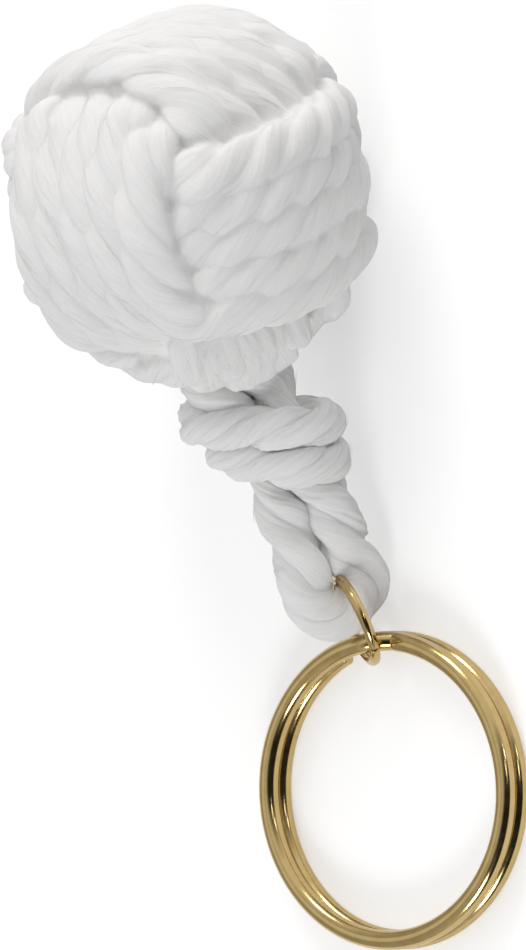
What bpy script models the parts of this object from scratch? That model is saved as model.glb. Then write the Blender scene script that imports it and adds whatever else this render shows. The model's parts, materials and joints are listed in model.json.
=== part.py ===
"""Monkey's fist key ring: a rope ball on a wooden core, a bound rope eye, a jump ring and a split ring.

Metres, +Z up. The key ring lies as it is put down on a table: the split ring is flat at the -X end, and
the ball rests on the table at the +X end. The origin is at the centre of the bounding box's underside.
"""

import math

import bpy
import numpy as np

# Wooden core and the rope wound round it in three crossing sets of turns
CORE_DIAMETER = 0.0212
CORE_CLEARANCE = 0.00015
PASS_PITCH = 0.0039
PANEL_PITCH = 0.0048
PASS_DIAMETER = 0.0032
TURNS_PER_SET = 5
POINTS_PER_TURN = 24
BALL_YAW = 166.0
BALL_PITCH = -17.5
BALL_ROLL = 5.5
BALL_DISTANCE = 0.0423

# How a set of turns is laid: over the faces at 0 and 180 degrees, under the next set between them
CORNER_ANGLE = 45.0
CORNER_CROWDING = 0.11
DIVE_START = 44.2
DIVE_SPAN = 12.1
TUCKED_END = 15.0

# How the turns settle against each other
PASS_SPACING = 0.0038
PASS_BULGE = 0.0014
SETTLING_STEPS = 400
FREE_STEPS = 60
STEPS_PER_SEARCH = 10
SEARCH_REACH = 1.25
PUSH_SHARE = 0.25
ROPE_STIFFNESS = 0.1
ROUTE_HOLD = 0.003

# Neck and eye: two legs of one rope and the bight that joins them
ROPE_DIAMETER = 0.0046
BIGHT_DIAMETER = 0.0039
BOUND_DIAMETER = 0.0030
BOUND_GAP = 0.0006
LEG_GAP = 0.0009
EYE_GAP = 0.0022
NECK_YAW = 169.0
NECK_PITCH = -15.6
KNEE_SHARE = 0.66
KNEE_SHARPNESS = 2.2
NECK_SAG = 0.0020
NECK_SAG_TURN = -31.0
NECK_GAP = 0.0004
EYE_TWIST = 47.0
SHOULDER_LENGTH = 0.0050
BIGHT_TAPER_LENGTH = 0.0035

# Collar: the rope wrapped round both legs
COLLAR_DIAMETER = 0.0034
COLLAR_TURNS = 2.0
COLLAR_PITCH = 0.0047
COLLAR_CLEARANCE = 0.0005
COLLAR_START = -165.0
COLLAR_DISTANCE = 0.0061
COLLAR_TILT = 28.0
COLLAR_TILT_TURN = -10.0

# Jump ring through the eye
JUMP_OUTER_DIAMETER = 0.010
JUMP_WIRE_DIAMETER = 0.0011
JUMP_JOINT_GAP = 0.00015
JUMP_JOINT_ANGLE = 120.0
LINK_CLEARANCE = 0.0003
BIGHT_CLEARANCE = 0.00055
LINK_YAW = -5.0
LINK_PITCH = 24.8
LINK_ROLL = -50.0

# Split ring
RING_OUTER_DIAMETER = 0.032
RING_WIRE_WIDTH = 0.002
RING_WIRE_HEIGHT = 0.00195
RING_WIRE_SQUARENESS = 2.6
COIL_GAP = 0.00015
UPPER_TIP_ANGLE = -16.5
LOWER_TIP_ANGLE = 13.5
CROSSING_TOP_ANGLE = 1.1
LINK_ANGLE = -1.5

# Faces that meet where the rope runs on from one named piece into the next
ROPE_FACE_GAP = 0.0003

# Points along each route, and corners of the wire's section
LEG_POINTS = 22
NECK_SAMPLES = 400
BIGHT_STEP = 15
COIL_STEPS = 48
CROSSING_STEPS = 12
JUMP_STEPS = 40
SECTION_STEP = 30
CORE_SEGMENTS = 24
CORE_RINGS = 14

# How many stretches along a rope count as its own neighbours, and how many diameters off gaps are sought
PASS_SKIP = POINTS_PER_TURN // 8
COLLAR_SKIP = POINTS_PER_TURN // 4
EYE_SKIP = 8
SELF_GAP_REACH = 5.0

PASS_RADIUS = PASS_DIAMETER / 2
INNER_REACH = CORE_DIAMETER / 2 + CORE_CLEARANCE + PASS_PITCH / 2
OUTER_REACH = INNER_REACH + PASS_PITCH
WINDING_REACH = OUTER_REACH + PASS_BULGE
JUMP_RADIUS = (JUMP_OUTER_DIAMETER - JUMP_WIRE_DIAMETER) / 2
RING_RADIUS = (RING_OUTER_DIAMETER - RING_WIRE_WIDTH) / 2
LOWER_LEVEL = RING_WIRE_HEIGHT / 2
UPPER_LEVEL = LOWER_LEVEL + RING_WIRE_HEIGHT + COIL_GAP
BIGHT_RADIUS = (EYE_GAP + BIGHT_DIAMETER) / 2
WIRE_IN_LINK = (RING_WIRE_WIDTH + JUMP_WIRE_DIAMETER) / 2 + LINK_CLEARANCE
BIGHT_IN_LINK = (BIGHT_DIAMETER + JUMP_WIRE_DIAMETER) / 2 + BIGHT_CLEARANCE

UP = np.array([0.0, 0.0, 1.0])


def unit(vector):
    return vector / np.linalg.norm(vector)


def ease(x):
    x = np.clip(x, 0.0, 1.0)
    return x * x * (3 - 2 * x)


def turned(axis_name, degrees):
    c = math.cos(math.radians(degrees))
    s = math.sin(math.radians(degrees))
    if axis_name == "x":
        return np.array([[1, 0, 0], [0, c, -s], [0, s, c]])
    if axis_name == "y":
        return np.array([[c, 0, s], [0, 1, 0], [-s, 0, c]])
    return np.array([[c, -s, 0], [s, c, 0], [0, 0, 1]])


def turned_about(vector, axis, degrees):
    c = math.cos(math.radians(degrees))
    s = math.sin(math.radians(degrees))
    return vector * c + np.cross(axis, vector) * s + axis * (axis @ vector) * (1 - c)


# Routes of the rope


def set_route(axis, outer, inner, start, stop, drift):
    """One set of turns: over the other rope on the faces +-outer, under it on the faces +-inner."""
    corner = math.copysign(CORNER_ANGLE, start)
    count = round((stop - start) / 360 * POINTS_PER_TURN)
    even = np.radians(np.linspace(start, stop, count + 1))
    angle = even + CORNER_CROWDING * np.sin(4 * even)
    from_outer = np.abs((np.degrees(angle) + 90) % 180 - 90)
    under = ease((from_outer - DIVE_START) / DIVE_SPAN)
    reach = OUTER_REACH + (INNER_REACH - OUTER_REACH) * under
    turn = drift * ((np.degrees(even) - corner) / 360 - TURNS_PER_SET / 2)
    spacing = PANEL_PITCH + (PASS_PITCH - PANEL_PITCH) * ease(from_outer / DIVE_START)
    fan = turn * 2 * np.arcsin(spacing / 2 / reach)
    flat = np.outer(np.cos(angle), outer) + np.outer(np.sin(angle), inner)
    return reach[:, None] * (np.cos(fan)[:, None] * flat + np.sin(fan)[:, None] * axis)


def fist_route():
    """All three sets in the order they are wound, as one route, and where it changes direction."""
    x, y, z = np.eye(3)
    full = 360 * TURNS_PER_SET
    corner = CORNER_ANGLE
    first = set_route(x, y, z, corner + TUCKED_END, corner + full, 1)
    second = set_route(y, z, -x, -corner, full - corner, -1)
    third = set_route(z, x, -y, corner, corner + full + TUCKED_END, -1)
    route = np.vstack([first[:-1], second[:-1], third])
    return route, (len(first) - 1, len(first) + len(second) - 2)


def closest(points, i, j):
    """For the stretches i and j of a route: where along each they come closest, and the way between."""
    a, u = points[i], points[i + 1] - points[i]
    b, v = points[j], points[j + 1] - points[j]
    r = a - b
    uu, vv, uv = (u * u).sum(1), (v * v).sum(1), (u * v).sum(1)
    ur, vr = (u * r).sum(1), (v * r).sum(1)
    flat = np.maximum(uu * vv - uv * uv, 1e-9 * uu * vv)
    s = np.clip((uv * vr - ur * vv) / flat, 0, 1)
    t = np.clip((uv * s + vr) / vv, 0, 1)
    s = np.clip((uv * t - ur) / uu, 0, 1)
    return s, t, r + u * s[:, None] - v * t[:, None]


def near_pairs(points, reach, skip):
    middle = (points[:-1] + points[1:]) / 2
    half = np.linalg.norm(points[1:] - points[:-1], axis=1) / 2
    apart = np.linalg.norm(middle[:, None, :] - middle[None, :, :], axis=2)
    index = np.arange(len(middle))
    close = apart < reach + half[:, None] + half[None, :]
    return np.nonzero(close & (index[None, :] - index[:, None] >= skip))


def moved_apart(points, i, j, push, s, t):
    """What pushing the stretches i and j apart does to the points at their ends."""
    count = len(points)
    move = np.zeros_like(points)
    for side in range(3):
        move[:, side] += np.bincount(i, push[:, side] * (1 - s), count)
        move[:, side] += np.bincount(i + 1, push[:, side] * s, count)
        move[:, side] -= np.bincount(j, push[:, side] * (1 - t), count)
        move[:, side] -= np.bincount(j + 1, push[:, side] * t, count)
    return move


def bend(points):
    change = np.zeros_like(points)
    change[1:-1] = (points[:-2] + points[2:]) / 2 - points[1:-1]
    return change


def settled(route):
    """The winding drawn tight: passes rest on the core and on each other, no closer than PASS_SPACING."""
    points = route.copy()
    for step in range(SETTLING_STEPS):
        if step % STEPS_PER_SEARCH == 0:
            i, j = near_pairs(points, SEARCH_REACH * PASS_SPACING, PASS_SKIP)
        s, t, way = closest(points, i, j)
        apart = np.linalg.norm(way, axis=1) + 1e-12
        push = (PUSH_SHARE * np.maximum(PASS_SPACING - apart, 0) / apart)[:, None] * way
        points = points + moved_apart(points, i, j, push, s, t)
        if step < SETTLING_STEPS - FREE_STEPS:
            points = points - ROPE_STIFFNESS * bend(bend(points))
            points = points + ROUTE_HOLD * (route - points)
        reach = np.linalg.norm(points, axis=1, keepdims=True)
        points = points * np.clip(reach, INNER_REACH, WINDING_REACH) / reach
    return points


def run_between(points, start, stop):
    """The rope from one cut to the next: each cut is across the middle of the stretch after a point."""
    run = list(points[start + 1 : stop + 1]) if start is not None else list(points[: stop + 1])
    half_face = ROPE_FACE_GAP / 2
    if start is not None:
        middle = (points[start] + points[start + 1]) / 2
        run.insert(0, middle + half_face * unit(points[start + 1] - points[start]))
    if stop < len(points) - 1:
        middle = (points[stop] + points[stop + 1]) / 2
        run.append(middle - half_face * unit(points[stop + 1] - points[stop]))
    return np.array(run)


def self_gap(points, diameters, skip):
    """The least gap between a tube and itself, past its own next few stretches."""
    i, j = near_pairs(points, SELF_GAP_REACH * diameters.max(), skip)
    way = closest(points, i, j)[2]
    radius = (diameters[:-1] + diameters[1:]) / 4
    return (np.linalg.norm(way, axis=1) - radius[i] - radius[j]).min()


# Neck and eye


class Neck:
    """The line between the two legs, from the ball to the bight, with a frame across it."""

    def __init__(self, start, end, sag):
        knee = start + KNEE_SHARE * (end - start) + sag
        share = np.linspace(0, 1, NECK_SAMPLES + 1)[:, None]
        weights = [(1 - share) ** 2, 2 * KNEE_SHARPNESS * share * (1 - share), share**2]
        self.line = (weights[0] * start + weights[1] * knee + weights[2] * end) / sum(weights)
        self.along = np.zeros(len(self.line))
        self.along[1:] = np.cumsum(np.linalg.norm(np.diff(self.line, axis=0), axis=1))
        self.length = self.along[-1]

    def at(self, distance):
        return np.array([np.interp(distance, self.along, self.line[:, k]) for k in range(3)])

    def direction(self, distance):
        step = 2 * self.length / NECK_SAMPLES
        return unit(self.at(min(distance + step, self.length)) - self.at(max(distance - step, 0)))

    def across(self, distance, roll):
        """The way from the line to the second leg, turned by roll out of the horizontal."""
        forward = self.direction(distance)
        level = unit(np.cross(UP, forward))
        return turned_about(level, forward, roll)


def eye_roll(neck, distance, end_roll):
    """The legs lie level under the collar and twist as they near the bight."""
    free = (distance - COLLAR_DISTANCE) / (neck.length - COLLAR_DISTANCE - BIGHT_RADIUS)
    return end_roll + EYE_TWIST * (1 - ease(free))


def leg_size(neck, distance):
    """Offset from the neck's line and diameter of a leg: bound under the collar, full below it."""
    bound_end = COLLAR_DISTANCE + COLLAR_TURNS / 2 * COLLAR_PITCH + COLLAR_DIAMETER / 4
    bound_end += math.tan(math.radians(COLLAR_TILT)) * BOUND_DIAMETER / 2
    full = ease((distance - bound_end) / SHOULDER_LENGTH)
    turn_start = neck.length - BIGHT_RADIUS
    tight = ease((distance - turn_start + BIGHT_TAPER_LENGTH) / BIGHT_TAPER_LENGTH)
    diameter = BOUND_DIAMETER + (ROPE_DIAMETER - BOUND_DIAMETER) * full
    offset = (BOUND_DIAMETER + BOUND_GAP) / 2
    offset += (ROPE_DIAMETER + LEG_GAP - BOUND_DIAMETER - BOUND_GAP) / 2 * full
    diameter += (BIGHT_DIAMETER - ROPE_DIAMETER) * tight
    offset += (BIGHT_RADIUS - (ROPE_DIAMETER + LEG_GAP) / 2) * tight
    return offset, diameter


def leg_route(neck, side, end_roll, ball_centre):
    """One leg from the ball to the start of the bight, with its diameters."""
    points = []
    sizes = []
    keep_off = WINDING_REACH + PASS_RADIUS + NECK_GAP
    for distance in np.linspace(0, neck.length - BIGHT_RADIUS, LEG_POINTS):
        offset, diameter = leg_size(neck, distance)
        across = neck.across(distance, eye_roll(neck, distance, end_roll))
        point = neck.at(distance) + side * offset * across
        away = point - ball_centre
        lean = np.linalg.norm(np.cross(unit(away), neck.direction(distance)))
        if np.linalg.norm(away) > keep_off + lean * diameter / 2:
            points.append(point)
            sizes.append(diameter)
    return points, sizes


def eye_route(neck, end_roll, ball_centre):
    """Down one leg, round the bight and back up the other."""
    down, down_sizes = leg_route(neck, -1, end_roll, ball_centre)
    up, up_sizes = leg_route(neck, 1, end_roll, ball_centre)
    centre = neck.at(neck.length - BIGHT_RADIUS)
    forward = neck.direction(neck.length - BIGHT_RADIUS)
    across = neck.across(neck.length - BIGHT_RADIUS, end_roll)
    bight = []
    for degrees in range(BIGHT_STEP - 90, 90, BIGHT_STEP):
        turn = math.radians(degrees)
        bight.append(centre + BIGHT_RADIUS * (math.cos(turn) * forward + math.sin(turn) * across))
    points = down + bight + up[::-1]
    sizes = down_sizes + [BIGHT_DIAMETER] * len(bight) + up_sizes[::-1]
    return np.array(points), np.array(sizes)


def collar_route(neck, end_roll):
    """A left-handed helix round both legs: half circles joined by straights of the legs' spacing."""
    half_straight = (BOUND_DIAMETER + BOUND_GAP) / 2
    bend_radius = BOUND_DIAMETER / 2 + COLLAR_CLEARANCE + COLLAR_DIAMETER / 2
    arc = math.pi * bend_radius
    lap = 2 * (arc + 2 * half_straight)
    count = round(COLLAR_TURNS * POINTS_PER_TURN)
    middle = neck.direction(COLLAR_DISTANCE)
    tilt_way = turned_about(unit(np.cross(UP, middle)), middle, COLLAR_TILT_TURN)
    tilt_way = tilt_way * math.tan(math.radians(COLLAR_TILT))
    points = []
    for step in range(count + 1):
        turn = COLLAR_START / 360 + COLLAR_TURNS * step / count
        distance = COLLAR_DISTANCE + (turn - COLLAR_START / 360 - COLLAR_TURNS / 2) * COLLAR_PITCH
        walked = (turn % 1.0) * lap
        if walked < half_straight:
            sideways, outward = walked, bend_radius
        elif walked < half_straight + arc:
            swing = (walked - half_straight) / bend_radius
            sideways = half_straight + bend_radius * math.sin(swing)
            outward = bend_radius * math.cos(swing)
        elif walked < 3 * half_straight + arc:
            sideways, outward = 2 * half_straight + arc - walked, -bend_radius
        elif walked < 3 * half_straight + 2 * arc:
            swing = (walked - 3 * half_straight - arc) / bend_radius
            sideways = -half_straight - bend_radius * math.sin(swing)
            outward = -bend_radius * math.cos(swing)
        else:
            sideways, outward = walked - lap, bend_radius
        across = neck.across(distance, eye_roll(neck, distance, end_roll))
        forward = neck.direction(distance)
        offset = sideways * across - outward * np.cross(across, forward)
        lean = tilt_way @ offset
        points.append(neck.at(distance) + offset + lean * forward)
    return np.array(points)


# Metal rings


def ring_height(angle):
    """Height of the wire's centre where it crosses over from the upper coil to the lower one."""
    share = (angle - UPPER_TIP_ANGLE) / (CROSSING_TOP_ANGLE - UPPER_TIP_ANGLE)
    return LOWER_LEVEL + (UPPER_LEVEL - LOWER_LEVEL) * float(ease(share))


def ring_point(angle, height):
    turn = math.radians(angle)
    return np.array([RING_RADIUS * math.cos(turn), RING_RADIUS * math.sin(turn), height])


def split_ring_route():
    """Two coils: from the upper tip once round, across between the tips, and once more round below."""
    run = 360 - (LOWER_TIP_ANGLE - UPPER_TIP_ANGLE)
    cross = LOWER_TIP_ANGLE - UPPER_TIP_ANGLE
    points = []
    for step in range(COIL_STEPS + 1):
        points.append(ring_point(UPPER_TIP_ANGLE - run * step / COIL_STEPS, UPPER_LEVEL))
    for step in range(1, CROSSING_STEPS):
        angle = LOWER_TIP_ANGLE - cross * step / CROSSING_STEPS
        points.append(ring_point(angle, ring_height(angle)))
    for step in range(COIL_STEPS + 1):
        points.append(ring_point(UPPER_TIP_ANGLE - run * step / COIL_STEPS, LOWER_LEVEL))
    return np.array(points)


def jump_ring_route(centre, outward, normal):
    """A wire circle round centre, its butt joint on the side away from the bight."""
    half_gap = math.degrees(JUMP_JOINT_GAP / 2 / JUMP_RADIUS)
    side = np.cross(normal, outward)
    points = []
    for step in range(JUMP_STEPS + 1):
        turned_by = half_gap + (360 - 2 * half_gap) * step / JUMP_STEPS
        turn = math.radians(JUMP_JOINT_ANGLE + turned_by)
        points.append(centre + JUMP_RADIUS * (math.cos(turn) * outward + math.sin(turn) * side))
    return np.array(points)


# Blender objects


def clear_scene():
    for item in list(bpy.data.objects):
        bpy.data.objects.remove(item, do_unlink=True)


def new_collection(name, hidden=False):
    collection = bpy.data.collections.new(name)
    collection.hide_render = hidden
    bpy.context.scene.collection.children.link(collection)
    return collection


def new_material(name, colour, roughness, metallic):
    material = bpy.data.materials.new(name)
    material.use_nodes = True
    shader = material.node_tree.nodes["Principled BSDF"]
    shader.inputs["Base Color"].default_value = (*colour, 1.0)
    shader.inputs["Roughness"].default_value = roughness
    shader.inputs["Metallic"].default_value = metallic
    return material


def new_empty(name, parent, place, collection):
    empty = bpy.data.objects.new(name, None)
    empty.parent = parent
    empty.location = place
    collection.objects.link(empty)
    return empty


def wire_curve(name, points, diameters, origin, sides_level, material, parent, collection):
    """A tube along the points, given in world metres, with its object's origin at origin."""
    curve = bpy.data.curves.new(name, "CURVE")
    curve.dimensions = "3D"
    curve.bevel_depth = float(diameters[0]) / 2
    curve.bevel_resolution = sides_level
    curve.use_fill_caps = True
    spline = curve.splines.new("POLY")
    spline.points.add(len(points) - 1)
    for item, point, diameter in zip(spline.points, points - origin, diameters):
        item.co = (*point, 1.0)
        item.radius = float(diameter / diameters[0])
    spline.use_smooth = True
    curve.materials.append(material)
    tube = bpy.data.objects.new(name, curve)
    tube.parent = parent
    collection.objects.link(tube)
    return tube


def wire_profile(collection):
    """The split ring's wire section: round at the sides, flattened where its coils lie together."""
    curve = bpy.data.curves.new("ring_wire_section", "CURVE")
    curve.dimensions = "2D"
    spline = curve.splines.new("POLY")
    spline.points.add(360 // SECTION_STEP - 1)
    power = 2 / RING_WIRE_SQUARENESS
    reach = math.cos(math.radians(SECTION_STEP / 2)) ** power
    for step, item in enumerate(spline.points):
        turn = math.radians(SECTION_STEP / 2 - SECTION_STEP * step)
        x = math.copysign(abs(math.cos(turn)) ** power, math.cos(turn)) / reach
        y = math.copysign(abs(math.sin(turn)) ** power, math.sin(turn)) / reach
        item.co = (x * RING_WIRE_WIDTH / 2, y * RING_WIRE_HEIGHT / 2, 0, 1)
    spline.use_cyclic_u = True
    section = bpy.data.objects.new("ring_wire_section", curve)
    section.hide_render = True
    section.display_type = "WIRE"
    collection.objects.link(section)
    return section


def core_ball(material, parent, collection):
    bpy.ops.mesh.primitive_uv_sphere_add(
        segments=CORE_SEGMENTS, ring_count=CORE_RINGS, radius=CORE_DIAMETER / 2
    )
    ball = bpy.context.object
    ball.name = "core_ball"
    ball.data.name = "core_ball"
    ball.data.shade_smooth()
    ball.data.materials.append(material)
    for other in list(ball.users_collection):
        other.objects.unlink(ball)
    collection.objects.link(ball)
    ball.parent = parent
    return ball


def whole_box(objects):
    """The bounding box of the objects as they are evaluated, in world metres."""
    bpy.context.view_layer.update()
    graph = bpy.context.evaluated_depsgraph_get()
    corners = []
    for item in objects:
        evaluated = item.evaluated_get(graph)
        mesh = evaluated.to_mesh()
        flat = np.empty(len(mesh.vertices) * 3, np.float32)
        mesh.vertices.foreach_get("co", flat)
        world = np.array(evaluated.matrix_world)
        placed = flat.reshape(-1, 3) @ world[:3, :3].T + world[:3, 3]
        corners += [placed.min(axis=0), placed.max(axis=0)]
        evaluated.to_mesh_clear()
    return np.min(corners, axis=0), np.max(corners, axis=0)


def layout():
    """Every route and joint of the key ring, with the split ring lying round the origin."""
    place = {}
    wire_at_link = ring_point(LINK_ANGLE, ring_height(LINK_ANGLE))
    link = turned("z", LINK_YAW) @ turned("y", -LINK_PITCH)
    to_bight = link @ np.array([1.0, 0.0, 0.0])
    link_normal = turned_about(unit(np.cross(UP, -to_bight)), -to_bight, LINK_ROLL)
    jump_centre = wire_at_link + (JUMP_RADIUS - WIRE_IN_LINK) * to_bight
    bight_apex = jump_centre + (JUMP_RADIUS - BIGHT_IN_LINK) * to_bight
    place["jump_ring_axis_point"] = bight_apex
    place["split_ring_axis_point"] = jump_centre
    place["ring_axis"] = link_normal

    # The ball rests on the table
    route, changes = fist_route()
    winding = settled(route)
    ball_turn = turned("z", BALL_YAW) @ turned("y", -BALL_PITCH) @ turned("x", BALL_ROLL)
    winding = winding @ ball_turn.T
    ball_height = PASS_RADIUS - winding[:, 2].min()
    ball_centre = np.array([bight_apex[0] + BALL_DISTANCE, 0.0, ball_height])
    winding = winding + ball_centre
    place["ball_centre"] = ball_centre
    place["first_turns"] = run_between(winding, None, changes[0])
    place["second_turns"] = run_between(winding, changes[0], changes[1])
    place["third_turns"] = run_between(winding, changes[1], len(winding) - 1)

    neck_turn = turned("z", NECK_YAW) @ turned("y", -NECK_PITCH)
    neck_start = ball_centre + neck_turn[:, 0] * (WINDING_REACH + PASS_RADIUS + NECK_GAP)
    chord = unit(bight_apex - neck_start)
    sag = turned_about(unit(np.cross(UP, chord)), chord, NECK_SAG_TURN) * NECK_SAG
    neck = Neck(neck_start, bight_apex, sag)
    forward = neck.direction(neck.length)
    level = unit(np.cross(UP, forward))
    flat_normal = unit(link_normal - forward * (link_normal @ forward))
    end_roll = math.degrees(math.atan2(np.cross(level, flat_normal) @ forward, level @ flat_normal))
    place["eye_loop"], place["eye_sizes"] = eye_route(neck, end_roll, ball_centre)
    place["collar_turns"] = collar_route(neck, end_roll)
    place["split_ring"] = split_ring_route()
    place["jump_ring"] = jump_ring_route(jump_centre, to_bight, link_normal)
    return place


def build():
    clear_scene()
    parts = new_collection("monkey_fist_key_ring")
    guides = new_collection("guides", hidden=True)
    rope = new_material("white_cotton_rope", (0.86, 0.85, 0.83), 0.85, 0.0)
    wood = new_material("turned_beech", (0.62, 0.44, 0.26), 0.6, 0.0)
    brass = new_material("polished_brass", (0.72, 0.53, 0.24), 0.18, 1.0)

    place = layout()
    ball_centre = place["ball_centre"]
    root = new_empty("key_ring_place", None, (0, 0, 0), parts)
    ball_place = new_empty("ball_place", root, ball_centre, parts)
    jump_axis = new_empty("jump_ring_axis", root, place["jump_ring_axis_point"], parts)
    ring_axis = new_empty("split_ring_axis", root, place["split_ring_axis_point"], parts)

    core_ball(wood, ball_place, parts)
    tubes = {
        "first_turns": (PASS_DIAMETER, 1, PASS_SKIP),
        "second_turns": (PASS_DIAMETER, 1, PASS_SKIP),
        "third_turns": (PASS_DIAMETER, 1, PASS_SKIP),
        "eye_loop": (place["eye_sizes"], 2, EYE_SKIP),
        "collar_turns": (COLLAR_DIAMETER, 1, COLLAR_SKIP),
    }
    for name, (diameter, sides_level, skip) in tubes.items():
        sizes = np.zeros(len(place[name])) + diameter
        gap = self_gap(place[name], sizes, skip)
        print(f"{name}: least gap to itself {gap * 1000:.2f} mm")
        wire_curve(name, place[name], sizes, ball_centre, sides_level, rope, ball_place, parts)

    jump_sizes = np.full(len(place["jump_ring"]), JUMP_WIRE_DIAMETER)
    jump_point = place["jump_ring_axis_point"]
    wire_curve("jump_ring", place["jump_ring"], jump_sizes, jump_point, 4, brass, jump_axis, parts)
    ring_sizes = np.full(len(place["split_ring"]), RING_WIRE_WIDTH)
    ring_point_on_axis = place["split_ring_axis_point"]
    ring = wire_curve(
        "split_ring", place["split_ring"], ring_sizes, ring_point_on_axis, 4, brass, ring_axis, parts
    )
    ring.data.bevel_mode = "OBJECT"
    ring.data.bevel_object = wire_profile(guides)
    ring.data.twist_mode = "Z_UP"

    low, high = whole_box([item for item in parts.objects if item.type != "EMPTY"])
    centring = -np.array([(low[0] + high[0]) / 2, (low[1] + high[1]) / 2, low[2]])
    root.location = centring
    print("size", np.round(high - low, 5).tolist())
    print("split_ring_centre", np.round(centring, 5).tolist())
    for name in ("ball_centre", "jump_ring_axis_point", "split_ring_axis_point"):
        print(name, np.round(place[name] + centring, 5).tolist())
    print("ring_axis", np.round(place["ring_axis"], 5).tolist())


if __name__ == "__main__":
    build()
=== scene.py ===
"""Looks of the monkey's fist key ring: laid cotton rope, polished brass rings and a pale studio."""

import json
import math

import bmesh
import bpy
import numpy as np
from mathutils import Matrix, Vector
from mathutils.bvhtree import BVHTree


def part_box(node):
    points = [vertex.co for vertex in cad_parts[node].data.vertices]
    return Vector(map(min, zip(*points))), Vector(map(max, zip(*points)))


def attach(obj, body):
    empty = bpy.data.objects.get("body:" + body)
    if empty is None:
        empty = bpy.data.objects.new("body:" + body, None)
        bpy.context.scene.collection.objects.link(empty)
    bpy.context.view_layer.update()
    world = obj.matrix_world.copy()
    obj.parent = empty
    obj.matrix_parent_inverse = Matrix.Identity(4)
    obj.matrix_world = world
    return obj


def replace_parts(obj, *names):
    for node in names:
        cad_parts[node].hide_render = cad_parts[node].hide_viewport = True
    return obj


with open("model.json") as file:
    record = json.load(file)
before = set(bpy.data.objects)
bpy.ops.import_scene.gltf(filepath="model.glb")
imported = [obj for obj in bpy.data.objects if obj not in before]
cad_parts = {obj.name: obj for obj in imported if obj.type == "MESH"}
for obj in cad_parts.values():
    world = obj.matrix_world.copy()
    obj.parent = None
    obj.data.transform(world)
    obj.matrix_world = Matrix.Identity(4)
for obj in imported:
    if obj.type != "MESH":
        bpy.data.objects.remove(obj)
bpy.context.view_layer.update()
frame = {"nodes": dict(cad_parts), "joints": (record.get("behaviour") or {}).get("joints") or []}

# Photograph: where the view points, which way it looks, and its scale
IMAGE_WIDTH = 526
IMAGE_HEIGHT = 950
PIXELS_PER_METRE = 9970.0
VIEW_DISTANCE = 0.9
VIEW_RIGHT = np.array([-0.1654, -0.7649, -0.6225])
VIEW_UP = np.array([0.9774, -0.2113, 0.0])
RING_PIXEL = np.array([392.2, 790.2])
RING_MIDDLE_HEIGHT = 0.00205

# Winding of the ball, as in the solids
CORE_REACH = 0.01075
PASS_PITCH = 0.0039
PANEL_PITCH = 0.0048
TURNS_PER_SET = 5
POINTS_PER_TURN = 24
CORNER_ANGLE = 45.0
CORNER_CROWDING = 0.11
DIVE_START = 44.2
DIVE_SPAN = 12.1
TUCKED_END = 15.0
PASS_SPACING = 0.0038
PASS_BULGE = 0.0014
SETTLING_STEPS = 400
FREE_STEPS = 60
STEPS_PER_SEARCH = 10
SEARCH_REACH = 1.25
PUSH_SHARE = 0.25
ROPE_STIFFNESS = 0.1
ROUTE_HOLD = 0.003
BALL_YAW = 166.0
BALL_PITCH = -17.5
BALL_ROLL = 5.5
BALL_SURFACE = 0.02

# Neck: the line of the solids
NECK_YAW = 169.0
NECK_PITCH = -15.6
KNEE_SHARE = 0.66
KNEE_SHARPNESS = 2.2
NECK_SAG = 0.0020
NECK_SAG_TURN = -31.0
NECK_PIECES = 400
INSIDE_PIECES = 60
EYE_TWIST = 47.0
SOLID_BIGHT_RADIUS = 0.00305

# Collar: the helix of the solids, wider, closer and less tilted to match the photograph
COLLAR_DISTANCE = 0.0058
COLLAR_PITCH = 0.0042
COLLAR_TURNS = 2.0
COLLAR_START = -165.0
COLLAR_TILT = 15.0
COLLAR_TILT_TURN = -10.0
COLLAR_DIAMETER = 0.0045
COLLAR_STRAIGHTS = (0.0031, 0.0013)
COLLAR_BEND = 0.0034
COLLAR_TAIL = 0.12
COLLAR_POINTS = 72
TUCKED_DEPTH = 0.45
TUCKED_THINNING = 0.25

# Thickness of the soft rope along the neck, and how it lies
EXIT_ROLL = -30.0
NECK_SHIFT = (-0.0005, -0.0026, 0.0)
SHIFT_FADE = 0.0140
NECK_BOW = 0.0002
BOW_AT = 0.013
BOW_SPAN = 0.004
NECK_INSIDE = 0.007
BIGHT_DIAMETER = 0.0052
EYE_INNER_RADIUS = 0.0006
LEG_DIAMETER = 0.0057
LEG_OFFSET = 0.00225
BOUND_DIAMETER = 0.0048
BOUND_OFFSET = 0.0019
EXIT_DIAMETER = 0.0066
EXIT_OFFSET = 0.0020
EXIT_OVERLAP = 0.0005
EXIT_FADE = 0.0030
COLLAR_END = 0.0106
SHOULDER = 0.0036
BIGHT_TAPER = 0.0032
EYE_SIDE_SHIFT = 0.0011
EYE_SQUEEZE = 0.0008
BIGHT_FLATNESS = 0.69
FLAT_REACH = 0.0045
FLAT_FADE = 0.0060
LEG_POINTS = 36
BIGHT_STEP = 15

# Rope: three strands laid left-handed, each of yarns
STRANDS = 3
STRAND_SHARE = 0.61
STRAND_SWELL = 0.05
STRAND_WANDER = 0.18
SWELL_LENGTH = 0.011
WANDER_LENGTH = 0.017
STRAND_SLIP = 0.05
CREASE_SHARPNESS = 16
BALL_LAYS = (0.0135, 0.0195, 0.0170)
BALL_LAY_PLACES = (0.0, 0.31, 0.35, 0.64, 0.69, 1.0)
EYE_LAY = 0.0165
COLLAR_LAY = 0.0150
BALL_PHASE, EYE_PHASE, COLLAR_PHASE = 0.4, 1.0, 2.0
BALL_SEED, EYE_SEED, COLLAR_SEED = 1.0, 5.0, 9.0
PASS_DIAMETER = 0.0044
PASS_FLATNESS = (0.84, 1.27)
BURIED_FULLNESS = 1.18
BALL_TIGHTNESS = 0.97
YARNS = 9
YARN_TWIST = 0.3
YARN_RELIEF = 0.05
LUMP_RELIEF = 0.055
LUMP_CELLS = 5
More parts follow.
